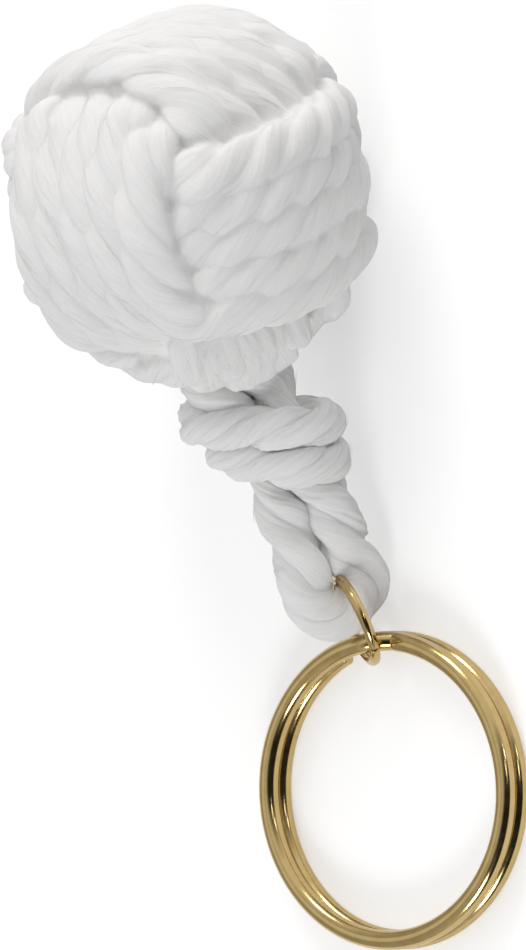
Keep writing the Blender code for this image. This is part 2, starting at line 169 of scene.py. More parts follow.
LUMP_LENGTH = 0.0035
STREAK_RELIEF = 0.035
STREAK_CELLS = 26
STREAK_LENGTH = 0.0060
CURVE_STEPS = 12
BALL_STEP = 0.00035
NECK_STEP = 0.0003
NECK_SIDES = 72

# Skin of the ball: the passes pressed together
BALL_SIDES = 54
SKIN_LEVEL = 8
SKIN_START = 0.03
SKIN_FLOOR = 0.0150
SKIN_ROUNDS = 10
SKIN_FILL = 0.8

# Brushed rope ends under the ball: their places in the photograph, and how far out they lie
END_PATHS = (
    ((184, 322), (188, 344), (191, 364), (193, 382)),
    ((200, 324), (205, 346), (208, 368), (209, 387)),
    ((218, 324), (223, 346), (226, 366), (227, 380)),
    ((234, 322), (240, 345), (244, 368), (245, 386)),
    ((250, 320), (257, 342), (262, 362), (263, 378)),
    ((268, 316), (275, 336), (280, 354), (281, 366)),
    ((286, 308), (293, 324), (298, 338), (300, 348)),
)
END_WIDTHS = (0.0036, 0.0040, 0.0036, 0.0040, 0.0036, 0.0036, 0.0032)
END_REACHES = (0.0164, 0.0176, 0.0187, 0.0194)
END_STEP = 0.0002
END_OVERHANG = 0.0016
END_FLATNESS = (0.62, 1.12)
END_TWIST = 0.9
END_LUMPS = 0.10
END_LUMP_CELLS = 6
END_LUMP_LENGTH = 0.0030
END_STREAKS = 0.09
END_STREAK_CELLS = 20
END_STREAK_LENGTH = 0.0050
END_RAGGED = 0.0003
END_RAGGED_CELLS = 9
END_OPENING = 0.35
END_DOME = 0.80
END_LEAST = 0.02

# Loose fibres on the rope
STRAY_STEPS = (6, 15)
STRAY_SLANT = 0.25
STRAY_LIFT = 0.0005
STRAY_LIFTS = (0.4, 1.0)
STRAY_DEPTH = 0.0005
STRAY_REST = 0.00002
STRAY_WIDTH = 0.00003
STRAY_WIDTHS = (0.6, 1.2)
BALL_FIBRES = 2200
END_FIBRES = 40
LEG_FIBRES = 110
LEG_SHARE = 0.38
COLLAR_FIBRES = 220

# Rings
RING_RADIUS = 0.015
RING_WIRE_WIDTH = 0.002
RING_WIRE_HEIGHT = 0.00195
COIL_GAP = 0.00015
UPPER_TIP_ANGLE = -16.5
LOWER_TIP_ANGLE = 13.5
CROSSING_TOP_ANGLE = 1.1
LOWER_LEVEL = RING_WIRE_HEIGHT / 2
UPPER_LEVEL = LOWER_LEVEL + RING_WIRE_HEIGHT + COIL_GAP
JUMP_RADIUS = 0.00445
JUMP_WIRE_DIAMETER = 0.0011
JUMP_JOINT_GAP = 0.00015
JUMP_JOINT_ANGLE = 120.0
COIL_POINTS = 240
CROSSING_POINTS = 40
JUMP_POINTS = 160
RING_SIDES = 36
RING_ROUNDING = 0.00025
JUMP_SIDES = 28
JUMP_ROUNDING = 0.00012
ROUND = 2.0
END_ANGLES = (90, 65, 40, 20, 0)

INNER_REACH = CORE_REACH + PASS_PITCH / 2
OUTER_REACH = INNER_REACH + PASS_PITCH
WINDING_REACH = OUTER_REACH + PASS_BULGE
BIGHT_RADIUS = EYE_INNER_RADIUS + BIGHT_DIAMETER / 2

# Colours, each from its darker to its paler tone
ROPE_COLOURS = ((0.895, 0.89, 0.885), (0.955, 0.952, 0.947))
FIBRE_COLOURS = ((0.88, 0.875, 0.87), (0.94, 0.937, 0.932))
BRASS_COLOURS = ((0.505, 0.368, 0.148), (0.57, 0.425, 0.195))
WOOD_COLOURS = ((0.76, 0.71, 0.62), (0.84, 0.80, 0.73))
FLOOR_COLOUR = (0.68, 0.68, 0.68)
BRASS_ROUGHNESS = (0.13, 0.21)
BRASS_WEAR = (0.35, 0.75)

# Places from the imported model
joints = {joint["name"]: joint for joint in frame["joints"]}
BIGHT_APEX = np.array(joints["jump_ring_swing"]["pos_m"])
JUMP_CENTRE = np.array(joints["split_ring_ride"]["pos_m"])
LINK_NORMAL = np.array(joints["jump_ring_swing"]["axis"])


def middle_of(node):
    low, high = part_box(node)
    return (np.array(low) + np.array(high)) / 2


BALL_CENTRE = middle_of("core_ball")
RING_CENTRE = middle_of("split_ring") * np.array([1.0, 1.0, 0.0])
VIEW_TOWARDS = np.cross(VIEW_RIGHT, VIEW_UP)
BALL_SHIFT = BALL_CENTRE - RING_CENTRE - np.array([0.0, 0.0, RING_MIDDLE_HEIGHT])
BALL_PIXEL = RING_PIXEL + PIXELS_PER_METRE * np.array([BALL_SHIFT @ VIEW_RIGHT, -BALL_SHIFT @ VIEW_UP])

UP = np.array([0.0, 0.0, 1.0])


def unit(vector):
    return vector / np.linalg.norm(vector)


def ease(x):
    x = np.clip(x, 0.0, 1.0)
    return x * x * (3 - 2 * x)


def turned(axis_name, degrees):
    c = math.cos(math.radians(degrees))
    s = math.sin(math.radians(degrees))
    if axis_name == "x":
        return np.array([[1, 0, 0], [0, c, -s], [0, s, c]])
    if axis_name == "y":
        return np.array([[c, 0, s], [0, 1, 0], [-s, 0, c]])
    return np.array([[c, -s, 0], [s, c, 0], [0, 0, 1]])


def turned_about(vector, axis, degrees):
    c = math.cos(math.radians(degrees))
    s = math.sin(math.radians(degrees))
    return vector * c + np.cross(axis, vector) * s + axis * (axis @ vector) * (1 - c)


# Route of the winding


def set_route(axis, outer, inner, start, stop, drift):
    """One set of turns: over the other rope on the faces +-outer, under it on the faces +-inner."""
    corner = math.copysign(CORNER_ANGLE, start)
    count = round((stop - start) / 360 * POINTS_PER_TURN)
    even = np.radians(np.linspace(start, stop, count + 1))
    angle = even + CORNER_CROWDING * np.sin(4 * even)
    from_outer = np.abs((np.degrees(angle) + 90) % 180 - 90)
    under = ease((from_outer - DIVE_START) / DIVE_SPAN)
    reach = OUTER_REACH + (INNER_REACH - OUTER_REACH) * under
    turn = drift * ((np.degrees(even) - corner) / 360 - TURNS_PER_SET / 2)
    spacing = PANEL_PITCH + (PASS_PITCH - PANEL_PITCH) * ease(from_outer / DIVE_START)
    fan = turn * 2 * np.arcsin(spacing / 2 / reach)
    flat = np.outer(np.cos(angle), outer) + np.outer(np.sin(angle), inner)
    return reach[:, None] * (np.cos(fan)[:, None] * flat + np.sin(fan)[:, None] * axis)


def fist_route():
    """All three sets in the order they are wound, as one route."""
    x, y, z = np.eye(3)
    full = 360 * TURNS_PER_SET
    corner = CORNER_ANGLE
    first = set_route(x, y, z, corner + TUCKED_END, corner + full, 1)
    second = set_route(y, z, -x, -corner, full - corner, -1)
    third = set_route(z, x, -y, corner, corner + full + TUCKED_END, -1)
    return np.vstack([first[:-1], second[:-1], third])


def closest(points, i, j):
    """For the stretches i and j of a route: where along each they come closest, and the way between."""
    a, u = points[i], points[i + 1] - points[i]
    b, v = points[j], points[j + 1] - points[j]
    r = a - b
    uu, vv, uv = (u * u).sum(1), (v * v).sum(1), (u * v).sum(1)
    ur, vr = (u * r).sum(1), (v * r).sum(1)
    flat = np.maximum(uu * vv - uv * uv, 1e-9 * uu * vv)
    s = np.clip((uv * vr - ur * vv) / flat, 0, 1)
    t = np.clip((uv * s + vr) / vv, 0, 1)
    s = np.clip((uv * t - ur) / uu, 0, 1)
    return s, t, r + u * s[:, None] - v * t[:, None]


def near_pairs(points, reach, skip):
    """Pairs of stretches of a route that may lie closer than the reach, but for near neighbours."""
    middle = (points[:-1] + points[1:]) / 2
    half = np.linalg.norm(points[1:] - points[:-1], axis=1) / 2
    apart = np.linalg.norm(middle[:, None, :] - middle[None, :, :], axis=2)
    index = np.arange(len(middle))
    close = apart < reach + half[:, None] + half[None, :]
    return np.nonzero(close & (index[None, :] - index[:, None] >= skip))


def moved_apart(points, i, j, push, s, t):
    """What pushing the stretches i and j apart does to the points at their ends."""
    count = len(points)
    move = np.zeros_like(points)
    for side in range(3):
        move[:, side] += np.bincount(i, push[:, side] * (1 - s), count)
        move[:, side] += np.bincount(i + 1, push[:, side] * s, count)
        move[:, side] -= np.bincount(j, push[:, side] * (1 - t), count)
        move[:, side] -= np.bincount(j + 1, push[:, side] * t, count)
    return move


def bend(points):
    """How far each point lies off the middle of its neighbours."""
    change = np.zeros_like(points)
    change[1:-1] = (points[:-2] + points[2:]) / 2 - points[1:-1]
    return change


def settled(route):
    """The winding drawn tight: passes rest on the core and on each other, no closer than PASS_SPACING."""
    points = route.copy()
    for step in range(SETTLING_STEPS):
        if step % STEPS_PER_SEARCH == 0:
            i, j = near_pairs(points, SEARCH_REACH * PASS_SPACING, POINTS_PER_TURN // 8)
        s, t, way = closest(points, i, j)
        apart = np.linalg.norm(way, axis=1) + 1e-12
        push = (PUSH_SHARE * np.maximum(PASS_SPACING - apart, 0) / apart)[:, None] * way
        points = points + moved_apart(points, i, j, push, s, t)
        if step < SETTLING_STEPS - FREE_STEPS:
            points = points - ROPE_STIFFNESS * bend(bend(points))
            points = points + ROUTE_HOLD * (route - points)
        reach = np.linalg.norm(points, axis=1, keepdims=True)
        points = points * np.clip(reach, INNER_REACH, WINDING_REACH) / reach
    return points


# Routes of the neck, eye and collar


class Neck:
    """The line between the two legs, from inside the ball to the bight, with a frame across it."""

    def __init__(self, start, end, sag, inward):
        knee = start + KNEE_SHARE * (end - start) + sag
        share = np.linspace(0, 1, NECK_PIECES + 1)[:, None]
        weights = [(1 - share) ** 2, 2 * KNEE_SHARPNESS * share * (1 - share), share**2]
        line = (weights[0] * start + weights[1] * knee + weights[2] * end) / sum(weights)
        lead = unit(line[0] - line[1])
        inside = line[0] + np.linspace(inward, 0, INSIDE_PIECES, endpoint=False)[:, None] * lead
        self.line = np.vstack([inside, line])
        self.along = np.zeros(len(self.line))
        self.along[1:] = np.cumsum(np.linalg.norm(np.diff(self.line, axis=0), axis=1))
        self.along -= inward
        self.length = self.along[-1]
        self.line += (1 - ease(self.along / SHIFT_FADE))[:, None] * np.array(NECK_SHIFT)
        bowed = np.exp(-(((self.along - BOW_AT) / BOW_SPAN) ** 2))
        self.line -= NECK_BOW * bowed[:, None] * VIEW_RIGHT

    def at(self, distance):
        return np.array([np.interp(distance, self.along, self.line[:, k]) for k in range(3)])

    def direction(self, distance):
        step = 2 * self.length / NECK_PIECES
        low = max(distance - step, self.along[0])
        return unit(self.at(min(distance + step, self.length)) - self.at(low))

    def across(self, distance, roll):
        """The way from the line to the second leg, turned by roll out of the horizontal."""
        forward = self.direction(distance)
        level = unit(np.cross(UP, forward))
        return turned_about(level, forward, roll)


def eye_roll(neck, distance, end_roll):
    """How far the pair of legs has turned about the neck's line at a distance along it."""
    free = (distance - COLLAR_DISTANCE) / (neck.length - COLLAR_DISTANCE - SOLID_BIGHT_RADIUS)
    near_ball = 1 - ease(distance / COLLAR_DISTANCE)
    return end_roll + EYE_TWIST * (1 - ease(free)) + EXIT_ROLL * near_ball


def leg_size(neck, distance):
    """Offset from the neck's line and diameter of a leg: full, pinched by the collar, full again."""
    full = ease((distance - COLLAR_END) / SHOULDER)
    near_ball = 1 - ease((distance + EXIT_OVERLAP) / EXIT_FADE)
    turn_start = neck.length - SOLID_BIGHT_RADIUS
    tight = ease((distance - turn_start + BIGHT_TAPER) / BIGHT_TAPER)
    diameter = BOUND_DIAMETER + (LEG_DIAMETER - BOUND_DIAMETER) * full
    diameter += (EXIT_DIAMETER - BOUND_DIAMETER) * near_ball
    diameter += (BIGHT_DIAMETER - LEG_DIAMETER) * tight
    offset = BOUND_OFFSET + (LEG_OFFSET - BOUND_OFFSET) * full
    offset += (EXIT_OFFSET - BOUND_OFFSET) * near_ball
    offset += (BIGHT_RADIUS - LEG_OFFSET) * tight
    return offset, diameter


def eye_line(neck, end_roll):
    """Down one leg, round the bight and back up the other: points and diameters."""
    turn_start = neck.length - SOLID_BIGHT_RADIUS
    forward = neck.direction(turn_start)
    across = neck.across(turn_start, end_roll)
    left = -math.copysign(1, across @ VIEW_RIGHT)
    shift = left * EYE_SIDE_SHIFT * across
    legs = []
    for side in (-1, 1):
        points = []
        sizes = []
        for distance in np.linspace(-NECK_INSIDE, turn_start, LEG_POINTS):
            offset, diameter = leg_size(neck, distance)
            swollen = EYE_SQUEEZE * ease((distance - turn_start + SHOULDER) / SHOULDER) * (side == left)
            offset -= swollen / 2
            diameter += swollen
            roll = eye_roll(neck, distance, end_roll)
            swung = ease((distance - COLLAR_END) / (turn_start - COLLAR_END))
            points.append(neck.at(distance) + side * offset * neck.across(distance, roll) + swung * shift)
            sizes.append(diameter)
        legs.append((points, sizes))
    centre = neck.at(turn_start) + shift
    bight = []
    bight_sizes = []
    for degrees in range(BIGHT_STEP - 90, 90, BIGHT_STEP):
        turn = math.radians(degrees)
        swollen = EYE_SQUEEZE * max(left * math.sin(turn), 0) ** 1.5
        radius = BIGHT_RADIUS - swollen / 2
        bight.append(centre + radius * (math.cos(turn) * forward + math.sin(turn) * across))
        bight_sizes.append(BIGHT_DIAMETER + swollen)
    points = legs[0][0] + bight + legs[1][0][::-1]
    sizes = legs[0][1] + bight_sizes + legs[1][1][::-1]
    return np.array(points), np.array(sizes)


def collar_line(neck, end_roll):
    """A left-handed helix round both legs, each end running on a little and tucked in."""
    middle = neck.direction(COLLAR_DISTANCE)
    tilt_way = turned_about(unit(np.cross(UP, middle)), middle, COLLAR_TILT_TURN)
    tilt_way = tilt_way * math.tan(math.radians(COLLAR_TILT))
    arc = math.pi * COLLAR_BEND
    points = []
    sizes = []
    first = COLLAR_START / 360
    last = first + COLLAR_TURNS
    for turn in np.linspace(first - COLLAR_TAIL, last + COLLAR_TAIL, COLLAR_POINTS):
        distance = COLLAR_DISTANCE + (turn - (first + last) / 2) * COLLAR_PITCH
        straight = np.interp(turn, (first, last), COLLAR_STRAIGHTS)
        lap = 2 * (arc + 2 * straight)
        walked = (turn % 1.0) * lap
        if walked < straight:
            sideways, outward = walked, COLLAR_BEND
        elif walked < straight + arc:
            swing = (walked - straight) / COLLAR_BEND
            sideways = straight + COLLAR_BEND * math.sin(swing)
            outward = COLLAR_BEND * math.cos(swing)
        elif walked < 3 * straight + arc:
            sideways, outward = 2 * straight + arc - walked, -COLLAR_BEND
        elif walked < 3 * straight + 2 * arc:
            swing = (walked - 3 * straight - arc) / COLLAR_BEND
            sideways = -straight - COLLAR_BEND * math.sin(swing)
            outward = -COLLAR_BEND * math.cos(swing)
        else:
            sideways, outward = walked - lap, COLLAR_BEND
        past = ease(max(first - turn, turn - last, 0.0) / COLLAR_TAIL)
        across = neck.across(distance, eye_roll(neck, distance, end_roll))
        forward = neck.direction(distance)
        offset = (1 - TUCKED_DEPTH * past) * (sideways * across - outward * np.cross(across, forward))
        points.append(neck.at(distance) + offset + (tilt_way @ offset) * forward)
        sizes.append(COLLAR_DIAMETER * (1 - TUCKED_THINNING * past))
    return np.array(points), np.array(sizes)


# Rope meshes


def smooth_line(points, values, step):
    """A smooth curve through the points, cut into even steps, with the values carried along."""
    dense = []
    carried = []
    padded = np.vstack([2 * points[0] - points[1], points, 2 * points[-1] - points[-2]])
    for k in range(len(points) - 1):
        p0, p1, p2, p3 = padded[k : k + 4]
        for s in np.linspace(0, 1, CURVE_STEPS, endpoint=False):
            dense.append(
                0.5
                * (
                    2 * p1
                    + (p2 - p0) * s
                    + (2 * p0 - 5 * p1 + 4 * p2 - p3) * s**2
                    + (3 * p1 - p0 - 3 * p2 + p3) * s**3
                )
            )
            carried.append((1 - s) * values[k] + s * values[k + 1])
    dense.append(points[-1])
    carried.append(values[-1])
    dense = np.array(dense)
    carried = np.array(carried)
    along = np.concatenate([[0], np.cumsum(np.linalg.norm(np.diff(dense, axis=0), axis=1))])
    even = np.linspace(0, along[-1], max(2, round(along[-1] / step)) + 1)
    line = np.stack([np.interp(even, along, dense[:, k]) for k in range(3)], axis=1)
    return line, np.interp(even, along, carried), even


def frames_along(line):
    """Tangent and two directions across it at each point, turning no more than the line does."""
    tangent = np.gradient(line, axis=0)
    tangent /= np.linalg.norm(tangent, axis=1, keepdims=True)
    first = np.zeros_like(line)
    guess = np.cross(tangent[0], UP if abs(tangent[0][2]) < 0.9 else np.array([1.0, 0.0, 0.0]))
    first[0] = unit(guess)
    for k in range(1, len(line)):
        moved = first[k - 1] - tangent[k] * (tangent[k] @ first[k - 1])
        first[k] = unit(moved)
    return tangent, first, np.cross(tangent, first)


def wave(distance, seed, longest):
    """A smooth irregular wave between about -1 and 1 along a rope."""
    total = np.zeros_like(distance)
    for k in range(4):
        length = longest / (1 + 0.83 * k)
        total += np.sin(2 * math.pi * distance / length + 2.4 * seed + 1.7 * k * k) / (1 + 0.6 * k)
    return total / 2.2


def flattened(moved, tangent, outwards, flatness):
    """Offsets from a line, scaled by flatness along outwards and along the way across it."""
    outwards = np.broadcast_to(outwards, tangent.shape)
    outwards = outwards - tangent * (outwards * tangent).sum(1, keepdims=True)
    outwards /= np.linalg.norm(outwards, axis=1, keepdims=True)
    sideways = np.cross(tangent, outwards)
    for way, factor in ((outwards, flatness[0]), (sideways, flatness[1])):
        part = (moved * way[:, None, :]).sum(2, keepdims=True)
        moved = moved + (np.reshape(factor, (-1, 1, 1)) - 1) * part * way[:, None, :]
    return moved


def lumps(around, along, cells, length, seed):
    """Smooth random heights about 0, in cells round a strand and lengths along it."""
    rows = int(along.max() / length) + 3
    table = np.random.default_rng(seed).uniform(-1, 1, (rows, cells))
    u = (around / (2 * math.pi) % 1.0) * cells
    v = np.broadcast_to((along / length)[:, None], around.shape)
    column = np.floor(u).astype(int)
    row = np.floor(v).astype(int)
    u = ease(u - column)
    v = ease(v - row)
    left, right = column % cells, (column + 1) % cells
    near = table[row, left] * (1 - u) + table[row, right] * u
    far = table[row + 1, left] * (1 - u) + table[row + 1, right] * u
    return near * (1 - v) + far * v


def rope_surface(line, sizes, along, lay, sides, phase, seed, outwards=None, flatness=(1.0, 1.0)):
    """Rings of points on a soft three-strand rope along the line, and their fibre coordinates."""
    tangent, first, second = frames_along(line)
    twist = 2 * math.pi * np.cumsum(np.gradient(along) / lay)[:, None]
    theta = 2 * math.pi * np.arange(sides) / sides
    offset = ((1 - STRAND_SHARE) * sizes / 2)[:, None]
    reaches = []
    arounds = []
    for strand in range(STRANDS):
        swell = 1 + STRAND_SWELL * wave(along, seed + strand * 3.1, SWELL_LENGTH)
        radius = (STRAND_SHARE * sizes / 2 * swell)[:, None]
        wander = STRAND_WANDER * wave(along, seed + 7 + strand, WANDER_LENGTH)
        away = theta[None, :] - 2 * math.pi * strand / STRANDS - wander[:, None]
        inner = np.maximum(radius**2 - (offset * np.sin(away)) ** 2, 0)
        reach = np.maximum(offset * np.cos(away) + np.sqrt(inner), radius / 4)
        around = np.arctan2(reach * np.sin(away), reach * np.cos(away) - offset)
        around = around + 2.1 * strand + YARN_TWIST * twist
        yarns = np.abs(np.sin(YARNS * around / 2)) - 0.5
        relief = YARN_RELIEF * yarns
        relief += LUMP_RELIEF * lumps(around, along, LUMP_CELLS, LUMP_LENGTH, 11 * strand + 1)
        relief += STREAK_RELIEF * lumps(around, along, STREAK_CELLS, STREAK_LENGTH, 11 * strand + 2)
        reaches.append(reach * (1 + relief))
        arounds.append(around)
    reaches = np.stack(reaches)
    chosen = reaches.argmax(axis=0)[None]
    reach = (reaches**CREASE_SHARPNESS).sum(axis=0) ** (1 / CREASE_SHARPNESS)
    around = np.take_along_axis(np.stack(arounds), chosen, axis=0)[0]
    turn = phase - twist + theta[None, :]
    moved = reach[:, :, None] * (
        np.cos(turn)[:, :, None] * first[:, None, :] + np.sin(turn)[:, :, None] * second[:, None, :]
    )
    if outwards is not None:
        moved = flattened(moved, tangent, outwards, flatness)
    rings = line[:, None, :] + moved
    rings[:, :, 2] = np.maximum(rings[:, :, 2], 0.0)
    lengthwise = along[:, None] + STRAND_SLIP * chosen[0]
    middle = (STRAND_SHARE * sizes / 2)[:, None]
    fibre = np.stack([np.cos(around) * middle, np.sin(around) * middle, lengthwise], axis=2)
    return rings, fibre


def spread(values, edges, degree, rounds):
    """Values on the points of a mesh, averaged with their neighbours for some rounds."""
    for _ in range(rounds):
        near = np.bincount(edges[:, 0], values[edges[:, 1]], len(values))
        near += np.bincount(edges[:, 1], values[edges[:, 0]], len(values))
        values = (values + near) / (1 + degree)
    return values


def pressed_skin(tubes, fibres, centre):
    """The outside of a wound ball as one surface: passes pressed together, with soft creases."""
    sides = tubes[0].shape[1]
    rings = np.concatenate(tubes)
    fibre = np.concatenate(fibres)
    quads = []
    rows = []
    start = 0
    for tube in tubes:
        quads += tube_faces(start * sides, len(tube), sides)[:-2]
        rows.append(np.arange(start, start + len(tube) - 1))
        start += len(tube)
    rows = np.concatenate(rows)
    tree = BVHTree.FromPolygons(rings.reshape(-1, 3).tolist(), quads)
    ball = bmesh.new()
    bmesh.ops.create_icosphere(ball, subdivisions=SKIN_LEVEL, radius=1.0)
    ways = np.array([point.co[:] for point in ball.verts])
    faces = [[point.index for point in face.verts] for face in ball.faces]
    edges = np.array([[point.index for point in edge.verts] for edge in ball.edges])
    ball.free()
    reach = np.full(len(ways), SKIN_FLOOR)
    quad = np.zeros(len(ways), int)
    for k, way in enumerate(ways):
        hit, _, face, _ = tree.ray_cast(Vector(centre + SKIN_START * way), Vector(-way), SKIN_START)
        if hit is not None:
            reach[k] = max((Vector(centre) - hit).length, SKIN_FLOOR)
            quad[k] = face
    row, column = rows[quad // sides], quad % sides
    beside = (column + 1) % sides
    corner = rings[row, column]
    forward = rings[row + 1, column] - corner
    across = rings[row, beside] - corner
    from_corner = centre + reach[:, None] * ways - corner
    u = np.clip((from_corner * forward).sum(1) / (forward * forward).sum(1), 0, 1)[:, None]
    v = np.clip((from_corner * across).sum(1) / (across * across).sum(1), 0, 1)[:, None]
    near = (1 - v) * fibre[row, column] + v * fibre[row, beside]
    far = (1 - v) * fibre[row + 1, column] + v * fibre[row + 1, beside]
    place = (1 - u) * near + u * far
    degree = np.bincount(edges.ravel(), minlength=len(ways))
    smooth = spread(reach, edges, degree, SKIN_ROUNDS)
    reach = reach + SKIN_FILL * np.maximum(smooth - reach, 0)
    reach = spread(reach, edges, degree, 1)
    return centre + reach[:, None] * ways, faces, place


def brushed_end(pixels, width, seed):
    """A short flattened bundle that lies on the ball along the pixels and frays at its lower end."""
    points = []
    for place, reach in zip(pixels, END_REACHES):
        sideways, upward = (np.array(place) - BALL_PIXEL) / PIXELS_PER_METRE * np.array([1, -1])
        height = math.sqrt(max(reach**2 - sideways**2 - upward**2, END_OVERHANG**2))
        points.append(BALL_CENTRE + sideways * VIEW_RIGHT + upward * VIEW_UP + height * VIEW_TOWARDS)
    line, sizes, along = smooth_line(np.array(points), np.full(len(points), width), END_STEP)
    tangent, first, second = frames_along(line)
    theta = 2 * math.pi * np.arange(BALL_SIDES) / BALL_SIDES
    share = along / along[-1]
    dome = np.clip((share - END_DOME) / (1 - END_DOME), 0, 1)
    fullness = np.sqrt(np.clip(share / END_OPENING, 0, 1)) * np.sqrt(1 - dome**2)
    around = theta[None, :] + END_TWIST * share[:, None]
    relief = END_LUMPS * lumps(around, along, END_LUMP_CELLS, END_LUMP_LENGTH, seed)
    relief += END_STREAKS * lumps(around, along, END_STREAK_CELLS, END_STREAK_LENGTH, seed + 1)
    ragged = lumps(np.tile(theta, (len(along), 1)), along, END_RAGGED_CELLS, 1.0, seed + 2)
    reach = width / 2 * (fullness[:, None] + END_LEAST) * (1 + relief)
    moved = reach[:, :, None] * (
        np.cos(theta)[None, :, None] * first[:, None, :] + np.sin(theta)[None, :, None] * second[:, None, :]
    )
    moved = flattened(moved, tangent, line - BALL_CENTRE, END_FLATNESS)
    slipped = END_RAGGED * (share**4)[:, None] * ragged
    rings = line[:, None, :] + moved + slipped[:, :, None] * tangent[:, None, :]
    lengthwise = np.repeat(along[:, None], BALL_SIDES, axis=1)
    place = [np.cos(around) * width / 2, np.sin(around) * width / 2, lengthwise]
    return rings, np.stack(place, axis=2), line


def laid_on(skin, path):
    """The path moved onto the pressed skin of the ball, or None where the rope is buried under it."""
    laid = []
    for point in path:
        way = unit(point - BALL_CENTRE)
        hit = skin.ray_cast(Vector(BALL_CENTRE + way * 2 * WINDING_REACH), Vector(-way))[0]
        if hit is None or np.linalg.norm(np.array(hit) - point) > STRAY_DEPTH:
            return None
        laid.append(np.array(hit))
    return np.array(laid)


def stray_fibres(rings, line, amount, seed, skin):
    """Thin loose fibres that follow the strands for a few millimetres and lift off at their ends."""
    random = np.random.default_rng(seed)
    count, sides = rings.shape[:2]
    tubes = []
    for _ in range(amount):
        steps = int(random.integers(*STRAY_STEPS))
        start = int(random.integers(0, count - steps))
        column = random.integers(0, sides) + random.uniform(-STRAY_SLANT, STRAY_SLANT) * np.arange(steps)
        column = np.round(column).astype(int) % sides
        row = start + np.arange(steps)
        surface = rings[row, column]
        outward = surface - line[row]
        if skin is not None:
            outward = surface - BALL_CENTRE
            surface = laid_on(skin, surface)
            if surface is None:
                continue
        outward /= np.linalg.norm(outward, axis=1, keepdims=True)
        share = np.linspace(-1, 1, steps)
        lift = STRAY_LIFT * random.uniform(*STRAY_LIFTS) * np.abs(share) ** 2.5 * (share > 0) + STRAY_REST
        path = surface + lift[:, None] * outward
        tangent, across, rise = frames_along(path)
        width = STRAY_WIDTH * random.uniform(*STRAY_WIDTHS) * (1.02 - np.abs(share) ** 3)[:, None]
        tubes.append(np.stack([path + width * across, path + width * rise, path - width * across], axis=1))
    faces = []
    total = 0
    for tube in tubes:
        faces += tube_faces(total, len(tube), 3)
        total += 3 * len(tube)
    points = np.concatenate(tubes).reshape(-1, 3)
    points[:, 2] = np.maximum(points[:, 2], 0.0)
    return points, faces


def tube_faces(start, count, sides):
    """Quads of a tube of count rings of vertices, and its two end caps."""
    ring = np.arange(sides)
    lower = start + np.arange(count - 1)[:, None] * sides + ring[None, :]
    beside = start + np.arange(count - 1)[:, None] * sides + (ring[None, :] + 1) % sides
    quads = np.stack([lower, beside, beside + sides, lower + sides], axis=2).reshape(-1, 4)
    faces = quads.tolist()
    faces.append([start + k for k in range(sides)][::-1])
    faces.append([start + (count - 1) * sides + k for k in range(sides)])
    return faces


def mesh_object(name, vertices, faces, material, body):
    """A smooth mesh that rides on the body and fills the material slot."""
    mesh = bpy.data.meshes.new(name)
    mesh.from_pydata(vertices.tolist(), [], faces)
    mesh.shade_smooth()
    mesh.materials.append(material)
    item = bpy.data.objects.new(name, mesh)
    bpy.context.scene.collection.objects.link(item)
    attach(item, body)
    return item


def rope_object(name, points, faces, fibre, material):
    """A rope mesh on the knot, with the fibre coordinates that its material reads."""
    rope = mesh_object(name, points.reshape(-1, 3), faces, material, "knot")
    attribute = rope.data.attributes.new("fibre", "FLOAT_VECTOR", "POINT")
    attribute.data.foreach_set("vector", fibre.astype(np.float32).ravel())
    return rope


def fuzz_object(name, rings, line, amount, seed, material, skin=None):
    """Loose fibres on the rope along the line, or on the pressed skin of the ball where it is given."""
    vertices, faces = stray_fibres(rings, line, amount, seed, skin)
    return mesh_object(name, vertices, faces, material, "knot")


# Rings


def ring_height(angle):
    """Height of the wire where it crosses from the upper coil to the lower one."""
    share = (angle - UPPER_TIP_ANGLE) / (CROSSING_TOP_ANGLE - UPPER_TIP_ANGLE)
    return LOWER_LEVEL + (UPPER_LEVEL - LOWER_LEVEL) * float(ease(share))


def split_ring_line():
    """Two coils: from the upper tip once round, across between the tips, and once more round below."""
    cross = LOWER_TIP_ANGLE - UPPER_TIP_ANGLE
    angles = np.concatenate(
        [
            UPPER_TIP_ANGLE - np.linspace(0, 360 - cross, COIL_POINTS),
            UPPER_TIP_ANGLE - 360 + cross - np.linspace(0, cross, CROSSING_POINTS)[1:-1],
            UPPER_TIP_ANGLE - 360 - np.linspace(0, 360 - cross, COIL_POINTS),
        ]
    )
    points = []
    for angle in angles:
        from_start = UPPER_TIP_ANGLE - angle
        if from_start <= 360 - cross:
            height = UPPER_LEVEL
        elif from_start < 360:
            height = ring_height(angle + 360)
        else:
            height = LOWER_LEVEL
        turn = math.radians(angle)
        points.append([RING_RADIUS * math.cos(turn), RING_RADIUS * math.sin(turn), height])
    return np.array(points) + RING_CENTRE


def jump_ring_line():
    """A wire circle with its butt joint on the side away from the bight."""
    outward = unit(BIGHT_APEX - JUMP_CENTRE)
    side = np.cross(LINK_NORMAL, outward)
    half_gap = math.degrees(JUMP_JOINT_GAP / 2 / JUMP_RADIUS)
    turns = np.radians(JUMP_JOINT_ANGLE + np.linspace(half_gap, 360 - half_gap, JUMP_POINTS))
    circle = np.outer(np.cos(turns), outward) + np.outer(np.sin(turns), side)
    return JUMP_CENTRE + JUMP_RADIUS * circle


